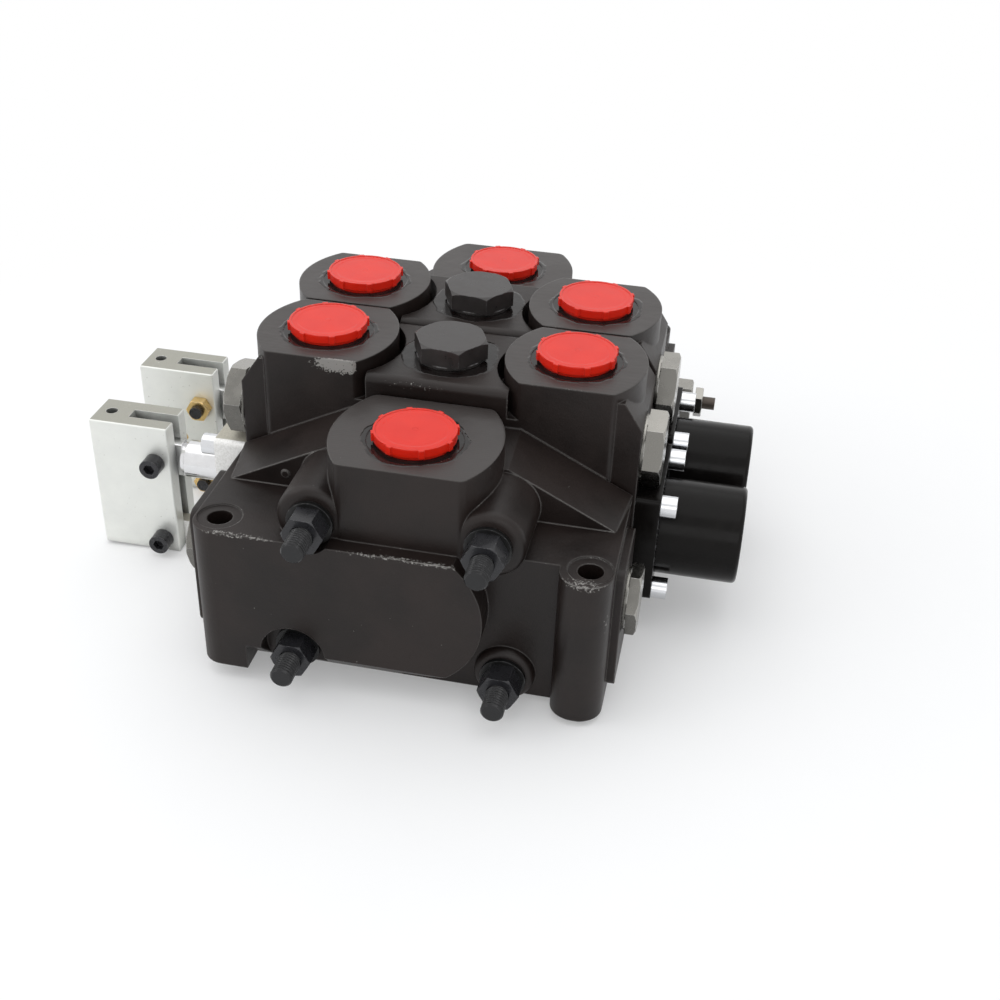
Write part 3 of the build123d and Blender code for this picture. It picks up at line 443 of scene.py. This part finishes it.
# Service and side plugs. Turned hexagon plugs with a passivated zinc plate that close the service
# bores of the work sections and the drillings of the end castings. Flanks that face forward or
# down are painted darker: painted shade and dark reflection, with some oil.

zinc_plate = bright_steel("zinc_plate", (0.34, 0.33, 0.305), 0.25, 0.0005, 0.45)
finish_nodes(("outlet_plug_left", "inlet_plug_left", "service_plug_left_1", "service_plug_left_2"),
             zinc_plate)
turned_plug("outlet_plug_right", "X", -10.5, zinc_plate)
turned_plug("service_plug_right_1", "X", -15.0, zinc_plate)
turned_plug("service_plug_right_2", "X", 20.0, zinc_plate)

# Main relief valve, a cartridge screwed into the right of the inlet casting. Its body and lock nut
# are zinc plated, the adjusting screw is dark steel, and poppet and spring sit inside.

finish_nodes(("main_relief_body", "main_relief_lock_nut"), zinc_plate)
finish_nodes(("main_relief_screw",),
             blackened_steel("screw_brown", (0.075, 0.060, 0.050), 0.42, 0.0003, 0.5))
finish_nodes(("main_relief_poppet",), ground_steel)
finish_nodes(("main_relief_spring",), spring_wire)

# Spools with their end parts. Hard chromed bars, ground to slide in the castings; the collar, its
# bolt and the two centring springs are hidden in the spring cap.

finish_nodes(("spool_1", "spool_2", "spring_collar_1", "spring_collar_2", "spool_end_bolt_1",
              "spool_end_bolt_2"), ground_steel)
finish_nodes(("centring_spring_inner_1", "centring_spring_inner_2", "centring_spring_outer_1",
              "centring_spring_outer_2"), spring_wire)

# Cap flanges, spring caps and their screws. The square flanges and round caps are turned steel,
# lacquered black; the socket screws of both ends are bright zinc.

finish_nodes(("cap_flange_1", "cap_flange_2", "spring_cap_1", "spring_cap_2"),
             blackened_steel("cap_black", (0.0060, 0.0052, 0.0048), 0.20, 0.0009, 0.0, 0.12))
finish_nodes(("cap_screws", "bracket_screws"), bright_steel("screw_zinc", (0.72, 0.73, 0.75), 0.16))

# Lever brackets. Light alloy castings bolted to the left end of each section, left as they came
# from the mould, so they sparkle with a fine grain; dust and oil lie on their tops.


def raw_casting(name):
    cast_grey = (0.82, 0.81, 0.78)
    material, shader, node = blank_material(name)
    place = node("ShaderNodeTexCoord").outputs["Object"]
    speckle = noise(node, place, 900, 4.0, 0.75)
    edges, rounded = edge_share(node, 0.0008, 0.82)
    sparkle = ramp(node, speckle, 0.36, 0.62)
    tone = blend_colour(node, sparkle, cast_grey, (0.98, 0.97, 0.95))
    top_tone = blend_colour(node, speckle, (0.34, 0.32, 0.26), (0.62, 0.59, 0.50))
    tone = blend_colour(node, facing_up(node), tone, top_tone)
    tone = blend_colour(node, maths(node, "MULTIPLY", edges, 0.4), tone, cast_grey)
    bump = node("ShaderNodeBump", Strength=0.4, Distance=0.0002, Height=speckle, Normal=rounded)
    connect(shader, Base_Color=tone, Metallic=0.20,
            Roughness=ramp(node, speckle, 0.3, 0.7, 0.62, 0.42), Normal=bump.outputs[0])
    return material


finish_nodes(("lever_bracket_1", "lever_bracket_2"), raw_casting("bracket_metal"))

# Lever blocks with their bolts and nuts. Milled aluminium bar with a sawn, duller top, a few scuffs
# and specks, and painted shade, partly grime, darkening the holes and slot; two black M8 socket
# bolts with yellow zinc nuts.


def milled_aluminium(name):
    pale_scuff = (0.84, 0.82, 0.76)
    dark_dot = (0.26, 0.24, 0.20)
    grime_and_shade = (0.05, 0.05, 0.045)
    grime_and_shade_reach = 0.012
    material, shader, node = blank_material(name)
    place = node("ShaderNodeTexCoord").outputs["Object"]
    cloud = noise(node, place, 55, 3.0, 0.6)
    lines = node("ShaderNodeMapping", Vector=place, Scale=(1.0, 1.0, 0.06))
    brushed = noise(node, lines.outputs[0], 1500, 2.0, 0.6)
    scuffs = ramp(node, noise(node, place, 210, 4.0, 0.7), 0.66, 0.72)
    dots = ramp(node, noise(node, place, 520, 2.0, 0.6), 0.70, 0.73)
    edges, rounded = edge_share(node, 0.0005)
    tone = blend_colour(node, cloud, (0.70, 0.71, 0.68), (0.88, 0.89, 0.85))
    sawn = blend_colour(node, brushed, (0.30, 0.30, 0.26), (0.44, 0.43, 0.38))
    tone = blend_colour(node, facing_up(node), tone, sawn)
    # Painted shade, partly grime: hollows that the surroundings shut in are darkened
    openness = node("ShaderNodeAmbientOcclusion", {"samples": 8}, Distance=grime_and_shade_reach)
    shut_in = ramp(node, openness.outputs["AO"], 0.15, 0.75, 0.85, 0.0)
    tone = blend_colour(node, shut_in, tone, grime_and_shade)
    tone = blend_colour(node, maths(node, "MULTIPLY", scuffs, 0.6), tone, pale_scuff)
    tone = blend_colour(node, maths(node, "MULTIPLY", dots, 0.5), tone, dark_dot)
    # Painted highlight: edges are painted a light grey
    tone = blend_colour(node, maths(node, "MULTIPLY", edges, 0.6), tone, (0.88, 0.88, 0.88))
    bump = node("ShaderNodeBump", Strength=0.12, Distance=0.00008, Height=brushed, Normal=rounded)
    connect(shader, Base_Color=tone, Metallic=0.65,
            Roughness=ramp(node, cloud, 0.3, 0.7, 0.36, 0.52), Normal=bump.outputs[0])
    return material


finish_nodes(("lever_fork_1", "lever_fork_2"), milled_aluminium("block_aluminium"))
finish_nodes(("fork_bolts_1", "fork_bolts_2"), black_steel)
finish_nodes(("fork_nuts_1", "fork_nuts_2"), bright_steel("yellow_zinc", (0.74, 0.52, 0.22), 0.22))

# The table. A sheet of white paper under the right feet and the lever blocks, which prop the left
# side up a little. It is shown a little overexposed, and further out it passes into the backdrop.

sole_edge = 0.1035
sole_gap = 0.0003
paper_end, backdrop_start = 0.28, 0.60
paper_glow = 0.25
fork_low, fork_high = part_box("lever_fork_1")
floor_tilt = math.atan2(-fork_low.z, sole_edge - fork_high.x)
floor_half = 4.0
floor_mesh = bpy.data.meshes.new("floor")
floor_corners = [(-floor_half, -floor_half, 0), (floor_half, -floor_half, 0),
                 (floor_half, floor_half, 0), (-floor_half, floor_half, 0)]
floor_mesh.from_pydata(floor_corners, [], [(0, 1, 2, 3)])
floor = bpy.data.objects.new("floor", floor_mesh)
bpy.context.scene.collection.objects.link(floor)
floor.matrix_world = Matrix.Translation((sole_edge, 0, -sole_gap)) @ \
    Matrix.Rotation(-floor_tilt, 4, "Y")


def seen_directly(node):
    """1 for what the camera sees, also in a reflection or through glass."""
    path = node("ShaderNodeLightPath")
    share = path.outputs["Is Camera Ray"]
    for kind in ("Is Glossy Ray", "Is Transmission Ray"):
        share = maths(node, "MAXIMUM", share, path.outputs[kind])
    return share


floor_paper, shader, node = blank_material("floor_paper")
floor_place = node("ShaderNodeTexCoord").outputs["Object"]
paper = blend_colour(node, noise(node, floor_place, 30), (0.925, 0.925, 0.930), (0.94, 0.94, 0.94))
connect(shader, Base_Color=paper, Roughness=0.85, Specular_IOR_Level=0.2)
from_middle = node("ShaderNodeVectorMath", {"operation": "DISTANCE"}, i0=floor_place,
                   i1=(-sole_edge, 0, 0))
far_out = ramp(node, from_middle.outputs["Value"], paper_end, backdrop_start, paper_glow, 1.0)
backdrop = node("ShaderNodeEmission", Color=(1, 1, 1, 1), Strength=1.0)
mixed = node("ShaderNodeMixShader", i0=maths(node, "MULTIPLY", far_out, seen_directly(node)),
             i1=shader.outputs[0], i2=backdrop.outputs[0])
connect(floor_paper.node_tree.nodes["Material Output"], Surface=mixed.outputs[0])
floor_mesh.materials.append(floor_paper)

# The light. A white room, one large soft lamp overhead, a weaker one at the left and one in front.

world = bpy.data.worlds.new("studio")
bpy.context.scene.world = world
world.use_nodes = True
world.node_tree.nodes.clear()
sky_node = node_maker(world.node_tree)
room = sky_node("ShaderNodeBackground", Color=(0.97, 0.985, 1.0, 1), Strength=0.78)
white = sky_node("ShaderNodeBackground", Color=(1, 1, 1, 1), Strength=1.0)
both = sky_node("ShaderNodeMixShader", i0=seen_directly(sky_node), i1=room.outputs[0],
                i2=white.outputs[0])
sky_node("ShaderNodeOutputWorld", Surface=both.outputs[0])


def lamp(name, place, aim, size, power):
    light = bpy.data.lights.new(name, "AREA")
    light.shape = "RECTANGLE"
    light.size, light.size_y = size
    light.energy = power
    made = bpy.data.objects.new(name, light)
    bpy.context.scene.collection.objects.link(made)
    made.location = place
    made.rotation_euler = (Vector(aim) - Vector(place)).to_track_quat("-Z", "Y").to_euler()


lamp("overhead", (-0.15, 0.2, 1.6), (0, 0, 0.05), (2.2, 2.2), 11)
lamp("left_window", (-1.5, -0.5, 1.0), (0, 0, 0.06), (1.2, 1.0), 5)
lamp("front_fill", (0.5, -1.7, 0.9), (0, 0, 0.05), (1.2, 0.8), 3)

# The camera, where the photograph was taken: a little right of the middle and a third of a right
# angle up, with the picture turned slightly.

azimuth, elevation, roll = math.radians(10.362), math.radians(32.939), math.radians(2.304)
camera_place = (0.144597, -0.661651, 0.465778)
backwards = Vector((math.sin(azimuth) * math.cos(elevation),
                    -math.cos(azimuth) * math.cos(elevation), math.sin(elevation)))
level_right = Vector((math.cos(azimuth), math.sin(azimuth), 0))
level_up = backwards.cross(level_right)
right = level_right * math.cos(roll) + level_up * math.sin(roll)
upward = level_up * math.cos(roll) - level_right * math.sin(roll)
lens = bpy.data.cameras.new("photo_camera")
lens.sensor_width = 36
lens.lens = 47.91
lens.clip_start = 0.01
camera = bpy.data.objects.new("photo_camera", lens)
bpy.context.scene.collection.objects.link(camera)
camera.matrix_world = Matrix.Translation(camera_place) @ \
    Matrix((right, upward, backwards)).transposed().to_4x4()
bpy.context.scene.camera = camera
bpy.context.scene.view_settings.view_transform = "Standard"
